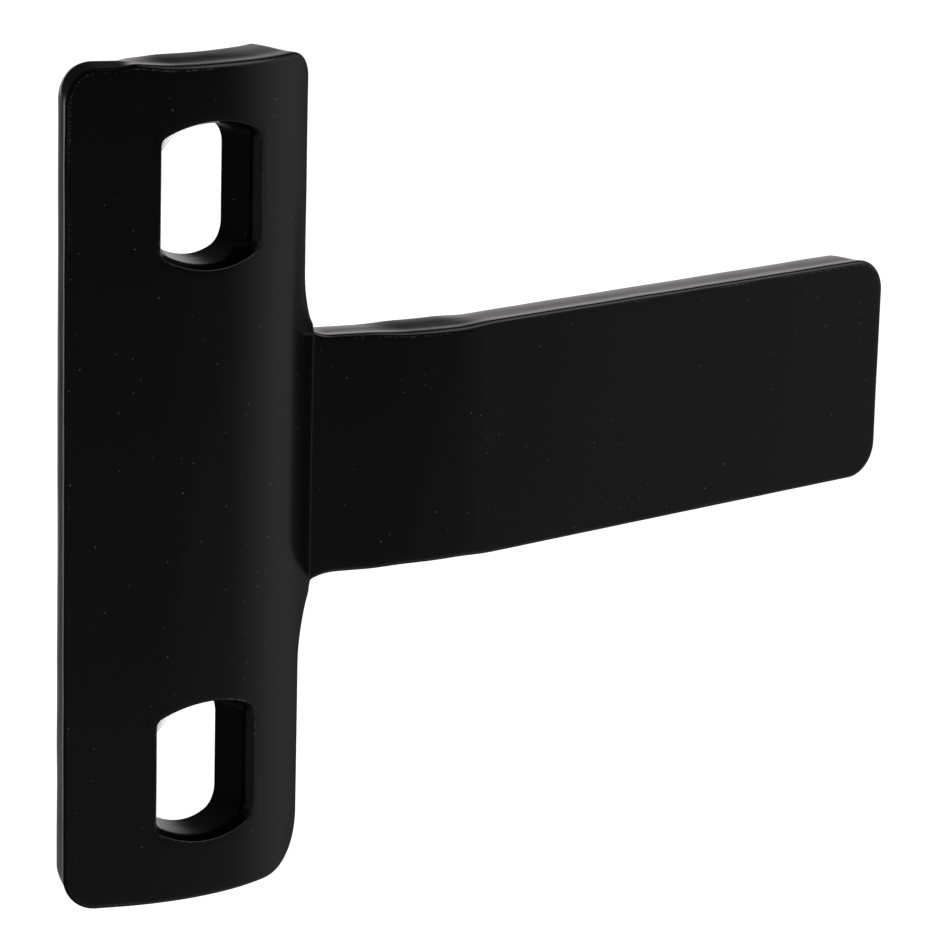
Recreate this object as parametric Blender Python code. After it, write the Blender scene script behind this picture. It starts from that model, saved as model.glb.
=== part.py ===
"""Bent T leaf of a gate or door hinge: one T-shaped blank of steel plate, slotted, then bent.

The frame is in metres with +Z up along the plate's height. The plate starts with a flat edge strip,
whose front faces -Y and whose back lies on the plane Y = 0. From there the plate curves back towards
+Y, round a post. The strap leaves the plate's middle at a sharp crease and runs on towards +X.
The origin is on the strip's back face, in the middle of the strip and of the plate's height.
"""

import math

import bmesh
import bpy

MM = 0.001

# The flat blank. S runs along the sheet from the plate's free edge, Z across it.
THICKNESS = 6.35 * MM
PLATE_HEIGHT = 101.6 * MM
PLATE_WIDTH = 31.75 * MM
STRAP_HEIGHT = 29.3 * MM
FREE_CORNER_RADIUS = 4.1 * MM
CREASE_CORNER_RADIUS = 4.8 * MM
STRAP_CORNER_RADIUS = 4.2 * MM
ROOT_FILLET = 9.0 * MM

# The two bolt slots in the plate: straight sides and crowned ends. Each is a little shorter, with
# rounder corners, at the sheet's back than at its front.
SLOT_WIDTH = 12.7 * MM
SLOT_HEIGHT = 17.8 * MM
SLOT_CORNER_RADIUS = 1.2 * MM
SLOT_BACK_HEIGHT = 15.7 * MM
SLOT_BACK_CORNER_RADIUS = 2.4 * MM
SLOT_END_RADIUS = 10.8 * MM
SLOT_CENTRE_S = 16.8 * MM
SLOT_SPACING = 70.2 * MM

# The bends, in their order along S. A bend's angle is how far it turns the sheet back, towards +Y.
EDGE_STRIP = 6.7 * MM
POST_RADIUS = 24.1 * MM
POST_ANGLE = math.radians(59.3)
CREASE_RADIUS = 0.4 * MM
CREASE_ANGLE = math.radians(-52.4)
STRAP_ROOT = 12.3 * MM
STRAP_BEND_RADIUS = 28.4 * MM
STRAP_BEND_ANGLE = math.radians(18.5)
STRAP_RUN = 71.4 * MM

# How finely curves are stepped.
BEND_STEP = math.radians(3.5)
CREASE_STEP = math.radians(10.0)
CORNER_STEPS = 8
SLOT_END_STEPS = 20

COATING_COLOUR = (0.012, 0.012, 0.013, 1.0)
COATING_ROUGHNESS = 0.42


def bend_sections():
    """(length along the middle of the sheet, angle turned) for each stretch, from the free edge on."""
    half = THICKNESS / 2
    return [
        (EDGE_STRIP, 0.0),
        ((POST_RADIUS + half) * POST_ANGLE, POST_ANGLE),
        ((CREASE_RADIUS + half) * -CREASE_ANGLE, CREASE_ANGLE),
        (STRAP_ROOT, 0.0),
        ((STRAP_BEND_RADIUS + half) * STRAP_BEND_ANGLE, STRAP_BEND_ANGLE),
        (STRAP_RUN, 0.0),
    ]


def sheet_length():
    """The whole blank's length along S."""
    return sum(length for length, _ in bend_sections())


def bent(s):
    """(x, y, angle) of the middle of the sheet at the distance s from the free edge."""
    x, y, angle = -EDGE_STRIP / 2, -THICKNESS / 2, 0.0
    sections = bend_sections()
    for index, (length, turn) in enumerate(sections):
        run = s if index == len(sections) - 1 else min(s, length)
        if turn:
            radius = length / turn
            end = angle + run / radius
            x += radius * (math.sin(end) - math.sin(angle))
            y += radius * (math.cos(angle) - math.cos(end))
            angle = end
        else:
            x += run * math.cos(angle)
            y += run * math.sin(angle)
        s -= run
    return x, y, angle


def bend_stations():
    """Every S at which the sheet's facets meet, across the bends and at the ends of each."""
    stations, start = [], 0.0
    for length, turn in bend_sections():
        step = CREASE_STEP if turn == CREASE_ANGLE else BEND_STEP
        count = max(1, math.ceil(abs(turn) / step))
        stations += [start + length * i / count for i in range(1, count + 1)]
        start += length
    return stations[:-1]


def rounded_outline(corners):
    """A closed outline through (s, z, radius) corners, each replaced by an arc that touches both sides."""
    points = []
    for index, (s, z, radius) in enumerate(corners):
        before, after = corners[index - 1], corners[(index + 1) % len(corners)]
        to_before = unit(before[0] - s, before[1] - z)
        to_after = unit(after[0] - s, after[1] - z)
        centre = (s + radius * (to_before[0] + to_after[0]), z + radius * (to_before[1] + to_after[1]))
        for step in range(CORNER_STEPS + 1):
            turn = math.pi / 2 * step / CORNER_STEPS
            back, on = radius * math.cos(turn), radius * math.sin(turn)
            points.append((
                centre[0] - back * to_after[0] - on * to_before[0],
                centre[1] - back * to_after[1] - on * to_before[1],
            ))
    return points


def unit(s, z):
    """The direction (s, z) at length one."""
    length = math.hypot(s, z)
    return s / length, z / length


def leaf_outline():
    """The T-shaped blank: round corners outside, and a fillet on each side of the strap's root."""
    plate, strap, end = PLATE_HEIGHT / 2, STRAP_HEIGHT / 2, sheet_length()
    return rounded_outline([
        (0.0, -plate, FREE_CORNER_RADIUS),
        (PLATE_WIDTH, -plate, CREASE_CORNER_RADIUS),
        (PLATE_WIDTH, -strap, ROOT_FILLET),
        (end, -strap, STRAP_CORNER_RADIUS),
        (end, strap, STRAP_CORNER_RADIUS),
        (PLATE_WIDTH, strap, ROOT_FILLET),
        (PLATE_WIDTH, plate, CREASE_CORNER_RADIUS),
        (0.0, plate, FREE_CORNER_RADIUS),
    ])


def slot_reach(s, height, corner_radius):
    """Half a slot's height at the distance s from its middle line: a crowned end, then a corner arc."""
    corner_s = SLOT_WIDTH / 2 - corner_radius
    end_z = height / 2 - SLOT_END_RADIUS
    joint = SLOT_END_RADIUS * corner_s / (SLOT_END_RADIUS - corner_radius)
    if s <= joint:
        return end_z + math.sqrt(SLOT_END_RADIUS ** 2 - s ** 2)
    rise = math.sqrt((SLOT_END_RADIUS - corner_radius) ** 2 - corner_s ** 2)
    return end_z + rise + math.sqrt(max(0.0, corner_radius ** 2 - (s - corner_s) ** 2))


def slot_outline(centre_z):
    """One bolt slot at the sheet's front, with its points closest together in the corners."""
    angles = [math.pi * step / SLOT_END_STEPS for step in range(SLOT_END_STEPS + 1)]
    across = [SLOT_WIDTH / 2 * math.sin(math.pi / 2 * math.cos(angle)) for angle in angles]
    upper = [(s, slot_reach(abs(s), SLOT_HEIGHT, SLOT_CORNER_RADIUS)) for s in across]
    lower = [(-s, -z) for s, z in upper]
    return [(SLOT_CENTRE_S + s, centre_z + z) for s, z in upper + lower]


def back_height(vert):
    """A blank vertex's Z at the sheet's back, where the slots' ends are drawn in."""
    s = abs(vert.co.x - SLOT_CENTRE_S)
    centre_z = math.copysign(SLOT_SPACING / 2, vert.co.z)
    near = s < SLOT_WIDTH / 2 + MM / 10 and abs(vert.co.z - centre_z) < SLOT_HEIGHT / 2 + MM / 10
    if not (vert.is_boundary and near):
        return vert.co.z
    s = min(s, SLOT_WIDTH / 2)
    front_reach = slot_reach(s, SLOT_HEIGHT, SLOT_CORNER_RADIUS)
    back_reach = slot_reach(s, SLOT_BACK_HEIGHT, SLOT_BACK_CORNER_RADIUS)
    return centre_z + (vert.co.z - centre_z) * back_reach / front_reach


def flat_blank():
    """The blank as one flat sheet in S and Z, filled round its slots and cut across at every station."""
    blank = bmesh.new()
    outlines = [leaf_outline(), slot_outline(SLOT_SPACING / 2), slot_outline(-SLOT_SPACING / 2)]
    for outline in outlines:
        verts = [blank.verts.new((s, 0.0, z)) for s, z in outline]
        for first, second in zip(verts, verts[1:] + verts[:1]):
            blank.edges.new((first, second))
    bmesh.ops.triangle_fill(blank, use_beauty=True, edges=blank.edges[:], normal=(0.0, -1.0, 0.0))
    for station in bend_stations():
        everything = blank.verts[:] + blank.edges[:] + blank.faces[:]
        bmesh.ops.bisect_plane(
            blank, geom=everything, dist=0.00001, plane_co=(station, 0.0, 0.0), plane_no=(1.0, 0.0, 0.0)
        )
    bmesh.ops.triangulate(blank, faces=blank.faces[:])
    return blank


def bent_plate(blank):
    """The closed solid: the blank's front and back skins after bending, joined by the cut edges."""
    plate = bmesh.new()
    front, back = {}, {}
    for vert in blank.verts:
        x, y, angle = bent(vert.co.x)
        out_x, out_y = math.sin(angle) * THICKNESS / 2, -math.cos(angle) * THICKNESS / 2
        front[vert] = plate.verts.new((x + out_x, y + out_y, vert.co.z))
        back[vert] = plate.verts.new((x - out_x, y - out_y, back_height(vert)))
    for face in blank.faces:
        plate.faces.new([front[vert] for vert in face.verts])
        plate.faces.new([back[vert] for vert in reversed(face.verts)])
    for edge in blank.edges:
        if len(edge.link_faces) == 1:
            first, second = edge.verts
            plate.faces.new([front[first], front[second], back[second], back[first]])
    bmesh.ops.recalc_face_normals(plate, faces=plate.faces[:])
    return plate


def coated_steel():
    """Black coating on steel."""
    material = bpy.data.materials.new("black_coating")
    material.use_nodes = True
    shader = material.node_tree.nodes["Principled BSDF"]
    shader.inputs["Base Color"].default_value = COATING_COLOUR
    shader.inputs["Roughness"].default_value = COATING_ROUGHNESS
    shader.inputs["Metallic"].default_value = 0.0
    return material


def make_leaf():
    """The T leaf as one object."""
    blank = flat_blank()
    plate = bent_plate(blank)
    blank.free()
    mesh = bpy.data.meshes.new("t_leaf")
    plate.to_mesh(mesh)
    plate.free()
    mesh.materials.append(coated_steel())
    mesh.shade_smooth()
    mesh.set_sharp_from_angle(angle=math.radians(30.0))
    leaf = bpy.data.objects.new("t_leaf", mesh)
    bpy.context.scene.collection.objects.link(leaf)
    return leaf


def main():
    for obj in list(bpy.data.objects):
        bpy.data.objects.remove(obj, do_unlink=True)
    make_leaf()


main()
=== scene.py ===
"""Looks of the fixed leaf of a heavy T hinge: thick steel sheet, pierced, bent and coated black.

The leaf is one thick stamping: a tall plate with two slots that wraps round a post, a sharp crease,
and a strap that leaves the plate and turns away behind it. Lengths in the classes are in millimetres
on the flat blank: along it (s), up it (z) and into it from its front skin (depth). The bent sheet
turns them into the frame's metres.
"""

import logging
import math
from dataclasses import dataclass, field
from enum import Enum

import bpy
import numpy as np
from mathutils import Matrix, Vector, noise
from mathutils.geometry import delaunay_2d_cdt


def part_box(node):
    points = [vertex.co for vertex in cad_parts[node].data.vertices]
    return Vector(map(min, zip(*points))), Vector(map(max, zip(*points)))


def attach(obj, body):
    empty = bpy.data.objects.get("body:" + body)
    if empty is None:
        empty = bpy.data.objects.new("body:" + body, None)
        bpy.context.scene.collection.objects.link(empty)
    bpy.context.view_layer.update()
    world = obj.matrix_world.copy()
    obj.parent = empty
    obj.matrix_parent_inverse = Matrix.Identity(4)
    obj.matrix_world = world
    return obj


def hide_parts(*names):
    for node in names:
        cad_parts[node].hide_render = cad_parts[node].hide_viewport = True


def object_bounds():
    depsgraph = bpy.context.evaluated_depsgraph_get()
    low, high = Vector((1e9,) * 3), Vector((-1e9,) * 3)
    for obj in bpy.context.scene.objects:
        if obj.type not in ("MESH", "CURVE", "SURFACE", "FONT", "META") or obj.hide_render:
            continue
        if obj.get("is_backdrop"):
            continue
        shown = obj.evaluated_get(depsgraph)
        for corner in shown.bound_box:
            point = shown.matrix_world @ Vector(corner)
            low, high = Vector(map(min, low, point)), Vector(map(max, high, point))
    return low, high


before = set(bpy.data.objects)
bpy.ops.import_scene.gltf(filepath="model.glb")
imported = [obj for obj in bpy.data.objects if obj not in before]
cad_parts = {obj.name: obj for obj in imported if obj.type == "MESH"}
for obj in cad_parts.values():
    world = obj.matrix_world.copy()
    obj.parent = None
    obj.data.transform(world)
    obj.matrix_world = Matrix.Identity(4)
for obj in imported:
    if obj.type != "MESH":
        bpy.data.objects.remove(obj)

LEAF_NODE = "t_leaf"
MM = 0.001
LINEAR_BELOW = 0.04045
QUARTER_TURN = math.pi / 2
HALF_TURN = math.pi

log = logging.getLogger("t_leaf")


class Side(Enum):
    """A skin of the sheet; the value is the sign of its depth from the middle."""

    FRONT = 1
    BACK = -1


class Edge(Enum):
    """Kinds of cut edge, which differ in how the cutting left them."""

    SHEARED = "sheared round the blank"
    PIERCED = "pierced through the sheet"


# ---------------------------------------------------------------- small helpers


def linear(colour: str) -> tuple[float, float, float, float]:
    """Turns an sRGB hex colour into the linear colour that a shader takes.

    Args:
        colour: The colour as six hex digits after a hash.

    Returns:
        Linear red, green, blue and an alpha of one.
    """
    channels = []
    for start in (1, 3, 5):
        value = int(colour[start:start + 2], 16) / 255
        if value <= LINEAR_BELOW:
            channels.append(value / 12.92)
        else:
            channels.append(((value + 0.055) / 1.055) ** 2.4)
    return (channels[0], channels[1], channels[2], 1.0)


def add_node(tree: bpy.types.NodeTree, kind: str, settings: dict, inputs: dict) -> bpy.types.Node:
    """Adds one node to a tree, with its settings and what its sockets take.

    Args:
        tree: The node tree that the node joins.
        kind: Blender's name for the node's type.
        settings: Node properties by name.
        inputs: Input sockets by name or number; each takes a value or another node's output.

    Returns:
        The new node.
    """
    made = tree.nodes.new(kind)
    for name, value in settings.items():
        setattr(made, name, value)
    for name, value in inputs.items():
        if isinstance(value, bpy.types.NodeSocket):
            tree.links.new(value, made.inputs[name])
        else:
            made.inputs[name].default_value = value
    return made


def smooth(low: float, high: float, value: np.ndarray) -> np.ndarray:
    """Eases from 0 where a value is at low to 1 where it is at high."""
    share = np.clip((value - low) / (high - low), 0.0, 1.0)
    return share * share * (3.0 - 2.0 * share)


def direction(azimuth: float, elevation: float) -> Vector:
    """Gives the unit vector at an azimuth and an elevation.

    Args:
        azimuth: Degrees from +Y towards +X.
        elevation: Degrees above the level.

    Returns:
        The direction.
    """
    turn, rise = math.radians(azimuth), math.radians(elevation)
    level = math.cos(rise)
    return Vector((math.sin(turn) * level, math.cos(turn) * level, math.sin(rise)))


# ---------------------------------------------------------------- the bent sheet


@dataclass
class BentSheet:
    """The line that the middle of the sheet follows, seen from above.

    It starts at the free edge of the plate's flat strip, whose back lies in the plane y = 0. Each
    bend eases in and out, because a sheet never folds along a line. A bend's angle is how far it
    turns the sheet back, in degrees, and its radius is the one inside the bend.
    """

    thickness: float = 6.35
    edge_strip: float = 6.7
    post_start: float = 2.0
    post_radius: float = 20.6
    post_angle: float = 59.3
    post_end: float = 2.0
    crease_radius: float = 0.4
    crease_angle: float = -54.3
    strap_root: float = 10.9
    strap_bend_radius: float = 24.0
    strap_bend_angle: float = 20.4
    strap_run: float = 73.1
    plate_ease: float = 6.0
    strap_ease: float = 9.0
    post_ease: float = 3.0
    tight_ease: float = 1.3
    step: float = 0.05
    path: tuple[np.ndarray, ...] = field(init=False, repr=False, compare=False)

    @property
    def half(self) -> float:
        """Half the sheet's thickness."""
        return self.thickness / 2

    def sections(self) -> list[tuple[float, float]]:
        """Lists the stretches of the sheet's middle.

        Returns:
            Length and turned angle (radians, towards the back) of each stretch.
        """
        post = math.radians(self.post_angle)
        crease = math.radians(self.crease_angle)
        strap = math.radians(self.strap_bend_angle)
        return [
            (self.edge_strip + self.post_start, 0.0),
            ((self.post_radius + self.half) * post, post),
            (self.post_end, 0.0),
            ((self.crease_radius + self.half) * -crease, crease),
            (self.strap_root, 0.0),
            ((self.strap_bend_radius + self.half) * strap, strap),
            (self.strap_run, 0.0),
        ]

    @property
    def length(self) -> float:
        """Length of the whole blank."""
        return sum(length for length, _ in self.sections())

    def stations(self) -> list[float]:
        """Distances along the blank at which its stretches meet."""
        return [float(mark) for mark in np.cumsum([length for length, _ in self.sections()])]

    def __post_init__(self) -> None:
        """Walks the sheet's middle in small steps, adding up its curvature."""
        bends = [turn / length for length, turn in self.sections()]
        eases = (self.plate_ease, self.post_ease, self.tight_ease, self.tight_ease,
                 self.strap_ease, self.strap_ease)
        marks = np.arange(0.0, self.length + self.step, self.step)
        bend = np.zeros_like(marks)
        for number, (mark, ease) in enumerate(zip(self.stations(), eases)):
            rise = smooth(mark - ease / 2, mark + ease / 2, marks)
            bend += (bends[number + 1] - bends[number]) * rise
        heading = np.concatenate(([0.0], np.cumsum((bend[1:] + bend[:-1]) / 2) * self.step))
        middle = (heading[1:] + heading[:-1]) / 2
        x = np.concatenate(([0.0], np.cumsum(np.cos(middle)))) * self.step - self.edge_strip / 2
        y = np.concatenate(([0.0], np.cumsum(np.sin(middle)))) * self.step - self.half
        self.path = (marks, x, y, heading)

    def middle(self, along: np.ndarray) -> tuple[np.ndarray, np.ndarray, np.ndarray]:
        """Follows the middle of the sheet.

        Args:
            along: Distances along the blank.

        Returns:
            x, y and heading (radians from +X towards +Y) at each distance.
        """
        marks, x, y, heading = self.path
        start, end = np.minimum(along, 0.0), np.maximum(along - marks[-1], 0.0)
        turned = np.interp(along, marks, heading)
        past_x = start + end * math.cos(heading[-1])
        past_y = end * math.sin(heading[-1])
        return np.interp(along, marks, x) + past_x, np.interp(along, marks, y) + past_y, turned

    def place(self, along: np.ndarray, height: np.ndarray, depth: np.ndarray) -> np.ndarray:
        """Bends points of the flat blank into place.

        Args:
            along: Distances along the blank.
            height: Heights on the blank.
            depth: Depths into the sheet from its front skin.

        Returns:
            Points in the frame, in metres, on a new last axis.
        """
        x, y, heading = self.middle(along)
        forward = self.half - depth
        points = (x + forward * np.sin(heading), y - forward * np.cos(heading), height)
        return np.stack(points, axis=-1) * MM

    def facing(self, along: np.ndarray, side: Side) -> np.ndarray:
        """Gives the way a skin faces.

        Args:
            along: Distances along the blank.
            side: Which skin.

        Returns:
            Unit normals on a new last axis.
        """
        heading = self.middle(along)[2]
        normals = (np.sin(heading), -np.cos(heading), np.zeros_like(heading))
        return np.stack(normals, axis=-1) * side.value


# ---------------------------------------------------------------- outlines on the flat blank


@dataclass
class CutLine:
    """A closed cut through the blank: matching rows of points on its two skins, and the way out."""

    front: np.ndarray
    back: np.ndarray
    away: np.ndarray
    kind: Edge


@dataclass(frozen=True)
class BlankShape:
    """The T-shaped blank with its rounded corners, whose foot was sheared a little short."""

    plate_height: float
    length: float
    plate_width: float = 32.1
    foot_short: float = 0.2
    foot_narrow: float = 0.35
    strap_lift: float = 0.1
    strap_height: float = 29.3
    free_corner: float = 3.3
    free_corner_foot: float = 3.6
    crease_corner_top: float = 3.5
    crease_corner_foot: float = 6.5
    strap_corner: float = 4.2
    root_fillet: float = 9.0
    root_fillet_foot: float = 10.5
    spacing: float = 0.25

    def corners(self) -> list[tuple[float, float, float]]:
        """Lists the corners anticlockwise as seen from the front.

        Returns:
            Distance along, height and radius of each corner.
        """
        top, strap = self.plate_height / 2, self.strap_height / 2
        foot, width = self.foot_short - top, self.plate_width
        foot_width = width - self.foot_narrow
        return [
            (0.0, foot, self.free_corner_foot),
            (foot_width, foot, self.crease_corner_foot),
            (foot_width, self.strap_lift - strap, self.root_fillet_foot),
            (self.length, self.strap_lift - strap, self.strap_corner),
            (self.length, self.strap_lift + strap, self.strap_corner),
            (width, self.strap_lift + strap, self.root_fillet),
            (width, top, self.crease_corner_top),
            (0.0, top, self.free_corner),
        ]

    def cut(self) -> CutLine:
        """Samples the outline, with arcs at its corners.

        Returns:
            The cut, the same on both skins.
        """
        corners = self.corners()
        points: list[np.ndarray] = []
        normals: list[np.ndarray] = []
        for number, (s, z, radius) in enumerate(corners):
            here = np.array((s, z))
            before = here - np.array(corners[number - 1][:2])
            after_corner = corners[(number + 1) % len(corners)]
            after = np.array(after_corner[:2]) - here
            room = float(np.linalg.norm(after)) - radius - after_corner[2]
            before, after = before / np.linalg.norm(before), after / np.linalg.norm(after)
            bulge = math.copysign(1.0, before[0] * after[1] - before[1] * after[0])
            normal_in = np.array((before[1], -before[0]))
            normal_out = np.array((after[1], -after[0]))
            centre = here - before * radius + after * radius
            steps = round(radius * QUARTER_TURN / self.spacing)
            for step in range(steps):
                turned = step / steps * QUARTER_TURN
                normal = math.cos(turned) * normal_in + math.sin(turned) * normal_out
                points.append(centre + bulge * radius * normal)
                normals.append(normal)
            steps = round(room / self.spacing)
            for step in range(steps):
                points.append(here + after * (radius + room * step / steps))
                normals.append(normal_out)
        outline = np.array(points)
        return CutLine(outline, outline.copy(), np.array(normals), Edge.SHEARED)

    def reach(self, s: float) -> float:
        """Half the blank's height at a distance along it, its rounding left out."""
        return (self.plate_height if s < self.plate_width else self.strap_height) / 2


@dataclass(frozen=True)
class Slot:
    """An upright slot with crowned ends that the punch left shorter at the back.

    Each end is given by its reach from the slot's middle and by its corners' radius.
    """

    centre_z: float
    centre_s: float = 16.75
    width: float = 11.88
    end: tuple[float, float] = (8.57, 1.0)
    back_top: tuple[float, float] = (8.5, 3.1)
    back_foot: tuple[float, float] = (8.02, 3.2)
    end_radius: float = 10.8
    side_steps: int = 60
    corner_steps: int = 12
    end_steps: int = 48

    def crown(self, reach: float, corner: float) -> tuple[float, float, float]:
        """Works out one rounded end.

        Args:
            reach: From the slot's middle to the end's highest point.
            corner: Radius between a side and the crowned end.

        Returns:
            Heights of the corner arc's and the crown arc's centres above the slot's middle, and
            the angle above the level at which one becomes the other.
        """
        across = self.width / 2 - corner
        rise = math.sqrt((self.end_radius - corner) ** 2 - across ** 2)
        end_z = reach - self.end_radius
        return end_z + rise, end_z, math.atan2(rise, across)

    def rim(self, top: tuple[float, float],
            foot: tuple[float, float]) -> tuple[np.ndarray, np.ndarray]:
        """Samples one skin's opening, clockwise as seen from the front.

        Args:
            top: Reach and corner radius of its upper end.
            foot: Reach and corner radius of its lower end.

        Returns:
            Points, and the directions from the metal into the opening.
        """
        top_z, top_end, top_turn = self.crown(*top)
        foot_z, foot_end, foot_turn = self.crown(*foot)
        top_s, foot_s = self.width / 2 - top[1], self.width / 2 - foot[1]
        foot_arcs = (
            (foot_s, -foot_z, foot[1], 0.0, -foot_turn, self.corner_steps),
            (0.0, -foot_end, self.end_radius, -foot_turn, foot_turn - HALF_TURN, self.end_steps),
            (-foot_s, -foot_z, foot[1], foot_turn - HALF_TURN, -HALF_TURN, self.corner_steps),
        )
        top_arcs = (
            (-top_s, top_z, top[1], HALF_TURN, HALF_TURN - top_turn, self.corner_steps),
            (0.0, top_end, self.end_radius, HALF_TURN - top_turn, top_turn, self.end_steps),
            (top_s, top_z, top[1], top_turn, 0.0, self.corner_steps),
        )
        points: list[tuple[float, float]] = []
        normals: list[tuple[float, float]] = []
        for way, start, end, arcs in ((1.0, top_z, -foot_z, foot_arcs),
                                      (-1.0, -foot_z, top_z, top_arcs)):
            for z in np.linspace(start, end, self.side_steps, endpoint=False):
                points.append((way * self.width / 2, z))
                normals.append((-way, 0.0))
            for s, z, radius, first, last, steps in arcs:
                for turned in np.linspace(first, last, steps, endpoint=False):
                    points.append((s + radius * math.cos(turned), z + radius * math.sin(turned)))
                    normals.append((-math.cos(turned), -math.sin(turned)))
        return np.array(points) + (self.centre_s, self.centre_z), np.array(normals)

    def cut(self) -> CutLine:
        """Gives the slot's cut.

        Returns:
            The cut, from the front opening to the shorter back one.
        """
        front, away = self.rim(self.end, self.end)
        back, _ = self.rim(self.back_top, self.back_foot)
        return CutLine(front, back, away, Edge.PIERCED)

    def holds(self, s: float, z: float) -> bool:
        """Says whether a point of the blank is inside the slot's box."""
        return abs(s - self.centre_s) < self.width / 2 and abs(z - self.centre_z) < self.end[0]


# ---------------------------------------------------------------- cut edges


@dataclass(frozen=True)
class EdgeProfile:
    """What a cut edge looks like in section, from the front skin round to the back skin.

    The cutting draws the front skin in and rolls its rim over, and a pierced hole widens towards
    the front by the taper. The coating gathers into a low lip behind the front rim, and the edge falls
    away to the back rim. At the free end of the plate's top the edge is a low crown instead.
    """

    thickness: float
    front_roll: float = 0.45
    roll_depth: float = 0.45
    taper: float = 0.0
    taper_depth: float = 1.3
    draw_in: float = 0.012
    back_roll: float = 0.3
    skin_band: float = 0.9
    skin_shares: tuple[float, ...] = (0.2, 0.55, 1.0)
    lip: float = 0.13
    lip_depth: float = 0.55
    lip_width: float = 0.9
    fall: float = 0.14
    fall_from: float = 3.6
    coat: float = 0.2
    roll_steps: int = 7
    face_steps: int = 22
    crown: float = 0.1
    crown_depth: float = 3.2
    crown_front: float = 0.38
    crown_back: float = 0.55
    crown_along: tuple[float, float] = (5.7, 8.2)
    crown_below_top: tuple[float, float] = (4.5, 1.5)
    wave: float = 0.04
    wave_length: float = 7.0
    wave_stretch: float = 0.5
    streak: float = 0.012
    streak_length: float = 5.0
    streak_depth: float = 1.5
    streak_seed: float = 9.0

    def rings(self) -> np.ndarray:
        """Walks the section.

        Returns:
            Rows of inset from the cut, depth from the front skin, and length walked from the
            front rim's start (negative on the front skin).
        """
        rows = []
        rim = self.front_roll + self.taper
        for share in reversed(self.skin_shares):
            rows.append((rim + self.skin_band * share, self.draw_in * (1 - share) ** 2))
        for step in range(self.roll_steps + 1):
            turned = step / self.roll_steps * QUARTER_TURN
            inset = self.taper + self.front_roll * (1 - math.sin(turned))
            drawn = self.draw_in * math.cos(turned)
            rows.append((inset, self.roll_depth * (1 - math.cos(turned)) + drawn))
        face = self.thickness - self.roll_depth - self.back_roll
        for step in range(1, self.face_steps):
            depth = self.roll_depth + face * step / self.face_steps
            tapering = (self.taper_depth - depth) / (self.taper_depth - self.roll_depth)
            rows.append((self.taper * max(tapering, 0.0), depth))
        for step in range(self.roll_steps + 1):
            turned = step / self.roll_steps * QUARTER_TURN
            depth = self.thickness - self.back_roll * (1 - math.sin(turned))
            rows.append((self.back_roll * (1 - math.cos(turned)), depth))
        for share in self.skin_shares:
            rows.append((self.back_roll + self.skin_band * share, self.thickness))
        section = np.array(rows)
        steps = np.linalg.norm(np.diff(section, axis=0), axis=1)
        walked = np.concatenate(([0.0], np.cumsum(steps)))
        return np.column_stack((section, walked - self.skin_band))

    def proud(self, depth: np.ndarray) -> np.ndarray:
        """Reads how far the section stands out: the lip in front, less the fall to the back rim.

        Args:
            depth: Depths from the front skin.

        Returns:
            Outward shifts of the same shape.
        """
        from_lip = (depth - self.lip_depth) / self.lip_width
        past_fall = np.maximum(depth - self.fall_from, 0.0) / (self.thickness - self.fall_from)
        return self.lip * np.exp(-(from_lip ** 2)) - self.fall * past_fall ** 2

    def crowned_end(self, s: np.ndarray, z: np.ndarray, depth: np.ndarray,
                    top: float) -> tuple[np.ndarray, np.ndarray]:
        """Reads how far the edge stands out where shearing left it crowned, at the top's free end.

        Args:
            s: Distances along the blank.
            z: Heights on the blank.
            depth: Depths from the front skin.
            top: Height of the plate's top.

        Returns:
            Outward shifts, highest along the crown and below zero at both rims, and the share of
            the crown at each point.
        """
        low, high = self.crown_below_top
        here = (1 - smooth(*self.crown_along, s)) * smooth(top - low, top - high, z)
        front = self.crown - (self.crown + self.crown_front) * (1 - depth / self.crown_depth)
        behind = (depth - self.crown_depth) / (self.thickness - self.crown_depth)
        back = self.crown - (self.crown + self.crown_back) * behind
        return here * np.minimum(front, back), here

    def unevenness(self, s: np.ndarray, z: np.ndarray, depth: np.ndarray) -> np.ndarray:
        """Reads how far the cut wanders in or out.

        Args:
            s: Distances along the blank.
            z: Heights on the blank.
            depth: Depths from the front skin.

        Returns:
            Outward shifts of the same shape.
        """
        out = np.zeros_like(s)
        for place in np.ndindex(s.shape):
            a, b, c = s[place], z[place], depth[place]
            slow = noise.noise(Vector((a, b, c * self.wave_stretch)) / self.wave_length)
            long, short = self.streak_length, self.streak_depth
            streaks = noise.noise(Vector((a / long, b / long, c / short + self.streak_seed)))
            out[place] = self.wave * slow + self.streak * streaks
        return out


@dataclass(frozen=True)
class BendSwell:
    """How bending moves the cut edges: they swell inside a bend and draw in outside it."""

    sheet: BentSheet
    post_top: float = 0.45
    post_foot: float = 0.12
    strap: float = 0.3
    crease: float = 0.25
    ease: float = 4.0
    post_end_ease: float = 1.0
    crease_ease: float = 1.0

    def lift(self, s: np.ndarray, z: np.ndarray, forward: np.ndarray) -> np.ndarray:
        """Reads the outward swelling of an edge.

        Args:
            s: Distances along the blank.
            z: Heights on the blank.
            forward: Depth as a share, 1 at the front skin and -1 at the back.

        Returns:
            Shifts away from the blank's middle height.
        """
        flat, _, post_end, crease_end, root_end, bend_end, _ = self.sheet.stations()
        in_post = smooth(flat - self.ease / 2, flat + self.ease, s)
        past_post = smooth(post_end - self.post_end_ease, post_end + self.post_end_ease, s)
        in_post = in_post * (1 - past_post)
        in_crease = smooth(post_end - self.ease / 2, post_end + self.crease_ease, s)
        past_crease = smooth(crease_end - self.crease_ease, crease_end + self.ease / 2, s)
        in_crease = in_crease * (1 - past_crease)
        in_strap = smooth(root_end - self.ease, root_end + self.ease / 2, s)
        in_strap = in_strap * (1 - smooth(bend_end - self.ease / 2, bend_end + self.ease, s))
        post = np.where(z > 0, self.post_top, self.post_foot)
        outward = self.crease * in_crease - post * in_post - self.strap * in_strap
        return outward * forward


# ---------------------------------------------------------------- the leaf's mesh


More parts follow.
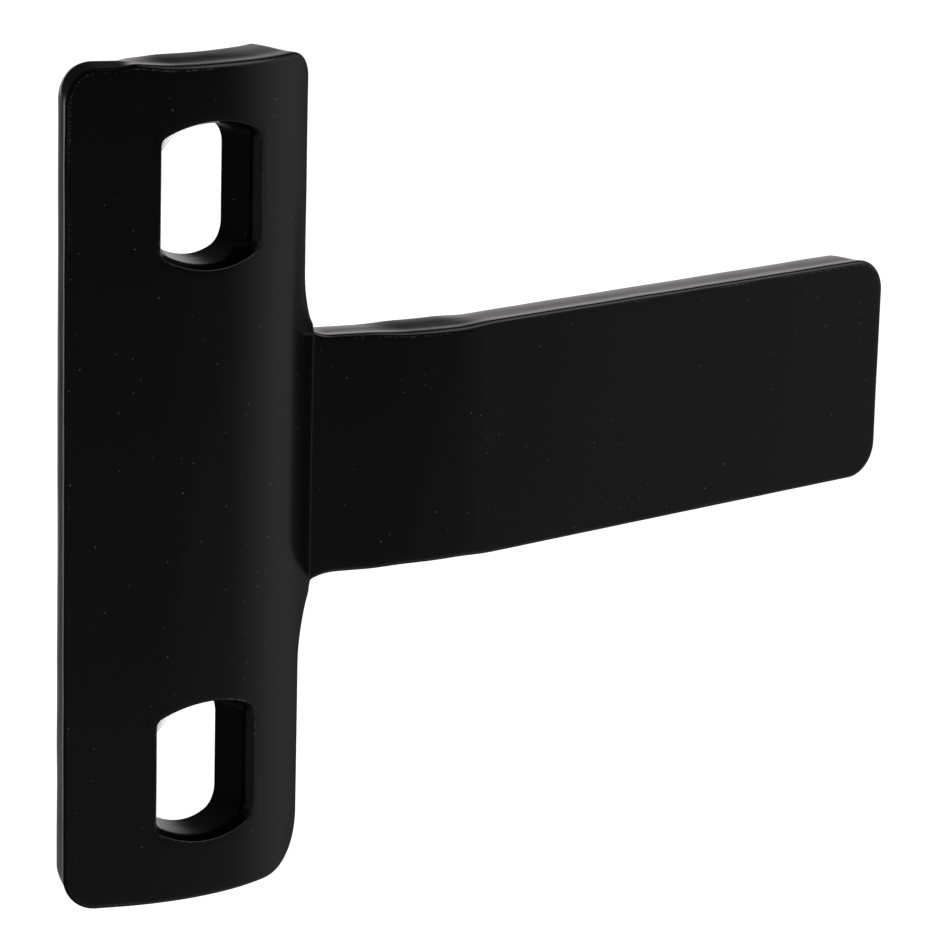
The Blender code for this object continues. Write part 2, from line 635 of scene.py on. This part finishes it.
@dataclass
class MeshParts:
    """Points, normals, lengths across the cut edge and faces, gathered for one mesh."""

    points: list[np.ndarray] = field(default_factory=list)
    normals: list[np.ndarray] = field(default_factory=list)
    across: list[np.ndarray] = field(default_factory=list)
    faces: list[tuple[int, ...]] = field(default_factory=list)
    count: int = 0

    def add(self, points: np.ndarray, normals: np.ndarray, across: np.ndarray) -> int:
        """Adds points.

        Args:
            points: Places in metres.
            normals: Shading normals.
            across: Length walked across the cut edge, for the finish.

        Returns:
            The number of the first point added.
        """
        first = self.count
        self.points.append(points.reshape(-1, 3))
        self.normals.append(normals.reshape(-1, 3))
        self.across.append(across.reshape(-1))
        self.count += len(self.points[-1])
        return first


@dataclass
class Leaf:
    """The whole stamping: two skins and a rounded band round each cut.

    The skins' own points read as far from every rim (skin_across), so the finish never wears them.
    """

    sheet: BentSheet
    blank: BlankShape
    slots: list[Slot]
    profiles: dict[Edge, EdgeProfile]
    swell: BendSwell
    skin_step: float = 2.0
    bend_step: float = 0.7
    clear: float = 0.7
    skin_across: float = -5.0
    merge_closer: float = 1e-5

    def edge_places(self, cut: CutLine, rings: np.ndarray) -> tuple[np.ndarray, np.ndarray]:
        """Works out where the band round one cut runs on the flat blank.

        Args:
            cut: The cut.
            rings: Its edge's section: inset, depth and length walked.

        Returns:
            Grids, round the cut by across it: of distances along and heights, and of depths.
        """
        profile = self.profiles[cut.kind]
        inset, depth, walked = rings[:, 0], rings[:, 1], rings[:, 2]
        share = (depth / self.sheet.thickness)[None, :, None]
        base = cut.front[:, None, :] * (1 - share) + cut.back[:, None, :] * share
        depth_grid = np.broadcast_to(depth, base.shape[:2])
        shift = profile.unevenness(base[..., 0], base[..., 1], depth_grid)
        back_walk = walked - walked[-1] + profile.skin_band
        fade = 1 - smooth(0.0, profile.skin_band, np.maximum(-walked, back_walk))
        top = self.blank.plate_height / 2
        crown, crowned = profile.crowned_end(base[..., 0], base[..., 1], depth_grid, top)
        lip = profile.proud(depth) * (1 - crowned)
        outward = profile.coat + (shift + lip) * fade + crown - inset
        flat = base + cut.away[:, None, :] * outward[..., None]
        if cut.kind is Edge.SHEARED:
            forward = 1 - 2 * depth_grid / self.sheet.thickness
            lift = self.swell.lift(flat[..., 0], flat[..., 1], forward)
            flat[..., 1] += cut.away[:, None, 1] * lift
        return flat, depth_grid

    def band(self, cut: CutLine, parts: MeshParts) -> tuple[np.ndarray, np.ndarray, np.ndarray]:
        """Builds the band round one cut.

        Args:
            cut: The cut.
            parts: What the band is added to.

        Returns:
            The band's point numbers (round the cut by across it), and its outermost points on the
            front and the back skin of the flat blank.
        """
        rings = self.profiles[cut.kind].rings()
        flat, depths = self.edge_places(cut, rings)
        points = self.sheet.place(flat[..., 0], flat[..., 1], depths)
        round_cut = np.roll(points, -1, axis=0) - np.roll(points, 1, axis=0)
        across_cut = np.gradient(points, axis=1)
        normals = np.cross(across_cut, round_cut)
        normals /= np.linalg.norm(normals, axis=-1, keepdims=True)
        normals[:, 0] = self.sheet.facing(flat[:, 0, 0], Side.FRONT)
        normals[:, -1] = self.sheet.facing(flat[:, -1, 0], Side.BACK)
        first = parts.add(points, normals, np.broadcast_to(rings[:, 2], depths.shape))
        numbers = first + np.arange(depths.size).reshape(depths.shape)
        turned = np.roll(numbers, -1, axis=0)
        corners = (numbers[:, :-1], numbers[:, 1:], turned[:, 1:], turned[:, :-1])
        quads = np.stack(corners, axis=-1)
        parts.faces.extend(tuple(int(n) for n in quad) for quad in quads.reshape(-1, 4))
        return numbers, flat[:, 0], flat[:, -1]

    def columns(self) -> list[float]:
        """Spaces the skins' points along the blank, closer in the bends.

        Returns:
            Distances along the blank.
        """
        marks: list[float] = []
        start = 0.0
        for length, turn in self.sheet.sections():
            step = self.bend_step if turn else self.skin_step
            count = max(2, round(length / step))
            marks.extend(start + length * number / count for number in range(count))
            start += length
        return marks

    def inner_points(self) -> np.ndarray:
        """Lays points over the blank, clear of its cuts.

        Returns:
            Rows of distance along and height.
        """
        sheared = self.profiles[Edge.SHEARED]
        margin = sheared.front_roll + sheared.skin_band + self.clear
        points = []
        for s in self.columns():
            if not margin < s < self.blank.length - margin:
                continue
            past_plate = s - self.blank.plate_width
            top = self.blank.reach(s)
            if -margin < past_plate < self.blank.root_fillet_foot + margin:
                top = self.blank.strap_height / 2
            rows = int((top - margin) / self.skin_step)
            for row in range(-rows, rows + 1):
                z = row * self.skin_step
                if not self.near_cut(s, z, margin):
                    points.append((s, z))
        return np.array(points)

    def near_cut(self, s: float, z: float, margin: float) -> bool:
        """Says whether a point is in a rounded corner of the blank or near a slot.

        Args:
            s: The point's distance along the blank.
            z: Its height.
            margin: How near a slot counts.

        Returns:
            Whether it is.
        """
        for slot in self.slots:
            if abs(s - slot.centre_s) < slot.width / 2 + margin:
                if abs(z - slot.centre_z) < slot.end[0] + margin:
                    return True
        for corner_s, corner_z, radius in self.blank.corners():
            if radius < self.blank.root_fillet:
                if max(abs(s - corner_s), abs(abs(z) - abs(corner_z))) < radius:
                    return True
        return False

    def skin(self, side: Side, rims: list[tuple[np.ndarray, np.ndarray]], parts: MeshParts) -> None:
        """Fills one skin between the bands.

        Args:
            side: Which skin.
            rims: Point numbers and flat places of each band's outermost ring on this skin.
            parts: What the skin is added to.
        """
        inner = self.inner_points()
        depth = np.full(len(inner), 0.0 if side is Side.FRONT else self.sheet.thickness)
        points = self.sheet.place(inner[:, 0], inner[:, 1], depth)
        normals = self.sheet.facing(inner[:, 0], side)
        first = parts.add(points, normals, np.full(len(inner), self.skin_across))
        numbers = [int(n) for ring, _ in rims for n in ring]
        numbers += range(first, first + len(inner))
        flat = np.concatenate([place for _, place in rims] + [inner])
        edges: list[tuple[int, int]] = []
        start = 0
        for ring, _ in rims:
            count = len(ring)
            edges += [(start + n, start + (n + 1) % count) for n in range(count)]
            start += count
        coords = [Vector((float(s), float(z))) for s, z in flat]
        made = delaunay_2d_cdt(coords, edges, [], 1, self.merge_closer)
        verts, triangles, origin = made[0], made[2], made[3]
        for triangle in triangles:
            middle = sum((verts[n] for n in triangle), Vector((0.0, 0.0))) / 3
            if any(slot.holds(middle.x, middle.y) for slot in self.slots):
                continue
            a, b, c = (verts[n] for n in triangle)
            anticlockwise = (b - a).cross(c - a) > 0
            corners = [numbers[origin[n][0]] for n in triangle]
            if anticlockwise != (side is Side.FRONT):
                corners.reverse()
            parts.faces.append(tuple(corners))

    def build(self) -> bpy.types.Object:
        """Makes the leaf's mesh and stands it for its CAD node.

        Returns:
            The leaf.
        """
        parts = MeshParts()
        cuts = [self.blank.cut()] + [slot.cut() for slot in self.slots]
        bands = [self.band(cut, parts) for cut in cuts]
        self.skin(Side.FRONT, [(numbers[:, 0], front) for numbers, front, _ in bands], parts)
        self.skin(Side.BACK, [(numbers[:, -1], back) for numbers, _, back in bands], parts)
        mesh = bpy.data.meshes.new("leaf")
        mesh.from_pydata(np.concatenate(parts.points).tolist(), [], parts.faces)
        mesh.validate()
        mesh.shade_smooth()
        across = mesh.attributes.new("across", "FLOAT", "POINT")
        across.data.foreach_set("value", np.concatenate(parts.across).astype(np.float32))
        mesh.normals_split_custom_set_from_vertices(np.concatenate(parts.normals).tolist())
        leaf = bpy.data.objects.new("leaf", mesh)
        bpy.context.scene.collection.objects.link(leaf)
        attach(leaf, "root")
        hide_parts(LEAF_NODE)
        log.info("leaf: %d points, %d faces", len(mesh.vertices), len(mesh.polygons))
        return leaf

    def dress(self, leaf: bpy.types.Object, coat: "BlackPowderCoat") -> None:
        """Gives the leaf its coat."""
        leaf.data.materials.append(coat.build())


# ---------------------------------------------------------------- finishes


@dataclass(frozen=True)
class BlackPowderCoat:
    """Black powder coat, sprayed and baked on blasted steel: semi-gloss, level, very dark.

    The eye gets almost nothing but the reflection: a soft mirror with a faint orange peel, a few
    specks of pale dust, and thin worn lines of metal where the rims are sharpest. The worn line is
    broken by a fine grain and by wide patches: each gate reads its noise between two levels and
    gives the least and the most wear. Real dust is finer than dust_size, which is as coarse as it
    needs to be to show. Widths, heights and spacings are in millimetres.
    """

    colour: str = "#020202"
    roughness: float = 0.19
    ior: float = 1.5
    peel_width: float = 1.6
    peel_height: float = 0.0016
    worn_colour: str = "#b4b1a6"
    worn_roughness: float = 0.42
    worn_width: float = 0.14
    worn_grain: float = 0.35
    worn_grain_gate: tuple[float, float, float, float] = (0.45, 0.7, 0.02, 1.0)
    worn_patch: float = 9.0
    worn_patch_gate: tuple[float, float, float, float] = (0.5, 0.72, 0.0, 0.17)
    dust_colour: str = "#b9b7ae"
    dust_spacing: float = 1.5
    dust_size: float = 0.13
    dust_rarity: float = 0.3
    dust_most: float = 0.2

    def build(self) -> bpy.types.Material:
        """Makes the material.

        Returns:
            The coat's material.
        """
        material = bpy.data.materials.new("black_powder_coat")
        material.use_nodes = True
        tree = material.node_tree
        tree.nodes.clear()
        place = add_node(tree, "ShaderNodeTexCoord", {}, {}).outputs["Object"]
        worn = self.worn_rims(tree, place)
        dust = self.dust(tree, place)
        base = add_node(tree, "ShaderNodeMix", {"data_type": "RGBA"},
                        {0: dust, 6: linear(self.colour), 7: linear(self.dust_colour)})
        colour = add_node(tree, "ShaderNodeMix", {"data_type": "RGBA"},
                          {0: worn, 6: base.outputs[2], 7: linear(self.worn_colour)})
        rough = add_node(tree, "ShaderNodeMix", {"data_type": "FLOAT"},
                         {0: worn, 2: self.roughness, 3: self.worn_roughness})
        peel = add_node(tree, "ShaderNodeTexNoise", {}, {
            "Vector": place, "Scale": 1 / (self.peel_width * MM), "Detail": 2.0,
            "Roughness": 0.5})
        bump = add_node(tree, "ShaderNodeBump", {}, {
            "Strength": 1.0, "Distance": self.peel_height * MM, "Height": peel.outputs[0]})
        shader = add_node(tree, "ShaderNodeBsdfPrincipled", {}, {
            "Base Color": colour.outputs[2], "Metallic": worn, "Roughness": rough.outputs[0],
            "IOR": self.ior, "Normal": bump.outputs[0]})
        add_node(tree, "ShaderNodeOutputMaterial", {}, {"Surface": shader.outputs[0]})
        return material

    def worn_rims(self, tree: bpy.types.NodeTree,
                  place: bpy.types.NodeSocket) -> bpy.types.NodeSocket:
        """Masks the broken line of bare metal along the front rims.

        Args:
            tree: The material's nodes.
            place: Where a point is, in metres.

        Returns:
            The mask, 1 on bare metal.
        """
        across = add_node(tree, "ShaderNodeAttribute", {"attribute_name": "across"}, {})
        off = add_node(tree, "ShaderNodeMath", {"operation": "ABSOLUTE"},
                       {0: across.outputs["Fac"]})
        line = add_node(tree, "ShaderNodeMapRange", {}, {
            "Value": off.outputs[0], "From Min": self.worn_width / 4, "From Max": self.worn_width,
            "To Min": 1.0, "To Max": 0.0})
        masks = [line.outputs[0]]
        gates = ((self.worn_grain, self.worn_grain_gate), (self.worn_patch, self.worn_patch_gate))
        for width, (low, high, least, most) in gates:
            grain = add_node(tree, "ShaderNodeTexNoise", {}, {
                "Vector": place, "Scale": 1 / (width * MM), "Detail": 1.0})
            gate = add_node(tree, "ShaderNodeMapRange", {}, {
                "Value": grain.outputs[0], "From Min": low, "From Max": high,
                "To Min": least, "To Max": most})
            masks.append(gate.outputs[0])
        return self.product(tree, masks)

    def dust(self, tree: bpy.types.NodeTree, place: bpy.types.NodeSocket) -> bpy.types.NodeSocket:
        """Masks the specks of dust.

        Args:
            tree: The material's nodes.
            place: Where a point is, in metres.

        Returns:
            The mask, 1 on a speck.
        """
        cells = add_node(tree, "ShaderNodeTexVoronoi", {}, {
            "Vector": place, "Scale": 1 / (self.dust_spacing * MM)})
        size = self.dust_size / self.dust_spacing
        speck = add_node(tree, "ShaderNodeMapRange", {}, {
            "Value": cells.outputs["Distance"], "From Min": size / 2, "From Max": size,
            "To Min": 1.0, "To Max": 0.0})
        chance = add_node(tree, "ShaderNodeSeparateColor", {}, {0: cells.outputs["Color"]})
        pale = add_node(tree, "ShaderNodeMapRange", {}, {
            "Value": chance.outputs[0], "From Min": self.dust_rarity, "From Max": 1.0,
            "To Min": 0.0, "To Max": self.dust_most})
        return self.product(tree, [speck.outputs[0], pale.outputs[0]])

    def product(self, tree: bpy.types.NodeTree,
                masks: list[bpy.types.NodeSocket]) -> bpy.types.NodeSocket:
        """Multiplies masks together.

        Args:
            tree: The material's nodes.
            masks: The masks.

        Returns:
            Their product.
        """
        result = masks[0]
        for mask in masks[1:]:
            both = add_node(tree, "ShaderNodeMath", {"operation": "MULTIPLY"},
                            {0: result, 1: mask})
            result = both.outputs[0]
        return result


@dataclass(frozen=True)
class WhitePaper:
    """White backdrop paper, matt and evenly lit: the eye gets plain white with no shadow on it."""

    colour: str = "#e7e7e7"
    roughness: float = 0.9
    lit_colour: str = "#ffffff"
    lit: float = 1.0

    def build(self) -> bpy.types.Material:
        """Makes the material.

        Returns:
            The paper's material.
        """
        material = bpy.data.materials.new("white_paper")
        material.use_nodes = True
        tree = material.node_tree
        tree.nodes.clear()
        shader = add_node(tree, "ShaderNodeBsdfPrincipled", {}, {
            "Base Color": linear(self.colour), "Roughness": self.roughness,
            "Emission Color": linear(self.lit_colour), "Emission Strength": self.lit})
        add_node(tree, "ShaderNodeOutputMaterial", {}, {"Surface": shader.outputs[0]})
        return material


# ---------------------------------------------------------------- studio


@dataclass(frozen=True)
class Glow:
    """One soft patch of light on the studio's dark walls, in degrees as seen from the leaf.

    It is even out to the inner angle from its middle and has faded out at the outer one.
    """

    azimuth: float
    elevation: float
    inner: float
    outer: float
    strength: float

    def add_to(self, tree: bpy.types.NodeTree, way: bpy.types.NodeSocket,
               total: bpy.types.NodeSocket) -> bpy.types.NodeSocket:
        """Adds this patch to the light of the room.

        Args:
            tree: The world's nodes.
            way: The direction in which the room is seen.
            total: The light so far.

        Returns:
            The light with this patch.
        """
        middle = direction(self.azimuth, self.elevation)
        near = add_node(tree, "ShaderNodeVectorMath", {"operation": "DOT_PRODUCT"},
                        {0: way, 1: middle})
        angle = add_node(tree, "ShaderNodeMath", {"operation": "ARCCOSINE"},
                         {0: near.outputs["Value"]})
        patch = add_node(tree, "ShaderNodeMapRange", {"interpolation_type": "SMOOTHSTEP"}, {
            "Value": angle.outputs[0], "From Min": math.radians(self.inner),
            "From Max": math.radians(self.outer), "To Min": self.strength, "To Max": 0.0})
        both = add_node(tree, "ShaderNodeMath", {"operation": "ADD"},
                        {0: total, 1: patch.outputs[0]})
        return both.outputs[0]


@dataclass(frozen=True)
class Studio:
    """A dark studio: a pale floor, soft patches of light on its walls, and white straight behind.

    As the leaf reflects it, the floor brightens by floor_glow for each degree from its horizon down
    to its lowest angle, and only on the side of floor_azimuth: floor_side is where that side begins
    and where it is full, as cosines.
    """

    floor_z: float = -0.35
    floor_size: float = 60.0
    tint: str = "#fffcfe"
    backdrop: str = "#ffffff"
    room: float = 0.04
    floor_glow: float = 0.0095
    floor_horizon: float = -6.3
    floor_lowest: float = -50.0
    floor_azimuth: float = 131.4
    floor_side: tuple[float, float] = (-0.1, 0.6)
    glows: tuple[Glow, ...] = (
        # The wide light at the right, on the plate's curve.
        Glow(azimuth=86.4, elevation=10.0, inner=5.0, outer=45.5, strength=0.4),
        # High at the right, on the upper rims.
        Glow(azimuth=106.4, elevation=45.0, inner=12.0, outer=35.0, strength=1.3),
        # Faint and low, on the start of the curve.
        Glow(azimuth=133.4, elevation=-20.0, inner=0.0, outer=24.0, strength=0.03),
        # Faint and low, on the end of the curve.
        Glow(azimuth=48.4, elevation=-10.0, inner=5.0, outer=24.0, strength=0.015),
        # At the front left, on the left rims.
        Glow(azimuth=-130.0, elevation=-10.0, inner=5.0, outer=25.0, strength=0.16),
        # Behind the leaf, on its top faces and the feet of its slots.
        Glow(azimuth=16.6, elevation=-5.0, inner=10.0, outer=30.0, strength=0.64),
        # Low behind the leaf, on its left cut edge.
        Glow(azimuth=-12.0, elevation=-32.0, inner=0.0, outer=21.0, strength=0.35),
    )

    def build_world(self) -> None:
        """Paints the room as the leaf's finish reflects it; the camera sees plain white."""
        world = bpy.data.worlds.new("studio")
        bpy.context.scene.world = world
        world.use_nodes = True
        tree = world.node_tree
        tree.nodes.clear()
        way = add_node(tree, "ShaderNodeTexCoord", {}, {}).outputs["Generated"]
        up = add_node(tree, "ShaderNodeSeparateXYZ", {}, {0: way}).outputs["Z"]
        rise = add_node(tree, "ShaderNodeMath", {"operation": "ARCSINE"}, {0: up})
        low = add_node(tree, "ShaderNodeMapRange", {}, {
            "Value": rise.outputs[0], "From Min": math.radians(self.floor_horizon),
            "From Max": math.radians(self.floor_lowest), "To Min": 0.0,
            "To Max": self.floor_glow * (self.floor_horizon - self.floor_lowest)})
        side = add_node(tree, "ShaderNodeVectorMath", {"operation": "DOT_PRODUCT"},
                        {0: way, 1: direction(self.floor_azimuth, 0.0)})
        lit_side = add_node(tree, "ShaderNodeMapRange", {"interpolation_type": "SMOOTHSTEP"}, {
            "Value": side.outputs["Value"], "From Min": self.floor_side[0],
            "From Max": self.floor_side[1]})
        walls = add_node(tree, "ShaderNodeMath", {"operation": "MULTIPLY_ADD"},
                         {0: low.outputs[0], 1: lit_side.outputs[0], 2: self.room})
        total = walls.outputs[0]
        for glow in self.glows:
            total = glow.add_to(tree, way, total)
        lit = add_node(tree, "ShaderNodeBackground", {}, {
            "Color": linear(self.tint), "Strength": total})
        white = add_node(tree, "ShaderNodeBackground", {}, {"Color": linear(self.backdrop)})
        path = add_node(tree, "ShaderNodeLightPath", {}, {})
        seen = add_node(tree, "ShaderNodeMixShader", {}, {
            0: path.outputs["Is Camera Ray"], 1: lit.outputs[0], 2: white.outputs[0]})
        add_node(tree, "ShaderNodeOutputWorld", {}, {"Surface": seen.outputs[0]})

    def build_floor(self) -> None:
        """Lays a plain white floor well below the leaf; the room already holds its reflection."""
        half = self.floor_size / 2
        corners = [(-half, -half, 0.0), (half, -half, 0.0), (half, half, 0.0), (-half, half, 0.0)]
        mesh = bpy.data.meshes.new("floor")
        mesh.from_pydata(corners, [], [(0, 1, 2, 3)])
        floor = bpy.data.objects.new("floor", mesh)
        floor.location.z = self.floor_z
        floor.visible_glossy = False
        bpy.context.scene.collection.objects.link(floor)
        mesh.materials.append(WhitePaper().build())
        floor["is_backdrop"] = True


@dataclass(frozen=True)
class View:
    """The camera: left of the leaf's front and a little above it; angles are in degrees."""

    aim: tuple[float, float, float] = (53.62, 19.23, -5.99)
    azimuth: float = -16.357
    elevation: float = 14.299
    roll: float = 1.533
    distance: float = 539.5
    lens: float = 161.9

    def build(self) -> None:
        """Makes the camera and the scene looks through it."""
        turn, rise, roll = (math.radians(a) for a in (self.azimuth, self.elevation, self.roll))
        level = math.cos(rise)
        back = Vector((math.sin(turn) * level, -math.cos(turn) * level, math.sin(rise)))
        right = Vector((math.cos(turn), math.sin(turn), 0.0))
        up = back.cross(right)
        rolled_right = math.cos(roll) * right + math.sin(roll) * up
        rolled_up = math.cos(roll) * up - math.sin(roll) * right
        turned = Matrix((rolled_right, rolled_up, back)).transposed()
        data = bpy.data.cameras.new("camera")
        data.lens = self.lens
        camera = bpy.data.objects.new("camera", data)
        place = (Vector(self.aim) + back * self.distance) * MM
        camera.matrix_world = Matrix.Translation(place) @ turned.to_4x4()
        bpy.context.scene.collection.objects.link(camera)
        bpy.context.scene.camera = camera


def main() -> None:
    """Builds the leaf and the studio in order."""
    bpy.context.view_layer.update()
    low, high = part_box(LEAF_NODE)
    sheet = BentSheet()
    blank = BlankShape(plate_height=(high.z - low.z) / MM, length=sheet.length)
    slots = [Slot(centre_z=35.29), Slot(centre_z=-34.9)]
    profiles = {
        Edge.SHEARED: EdgeProfile(sheet.thickness),
        Edge.PIERCED: EdgeProfile(sheet.thickness, front_roll=0.12, roll_depth=0.15, taper=0.38,
                                   draw_in=0.03, lip=0.0, fall=0.0),
    }
    leaf = Leaf(sheet, blank, slots, profiles, BendSwell(sheet))
    leaf.dress(leaf.build(), BlackPowderCoat())
    View().build()
    studio = Studio()
    studio.build_world()
    studio.build_floor()
    bpy.context.scene.view_settings.view_transform = "Standard"
    low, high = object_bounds()


if __name__ == "__main__":
    logging.basicConfig(level=logging.INFO, format="%(name)s: %(message)s")
    main()
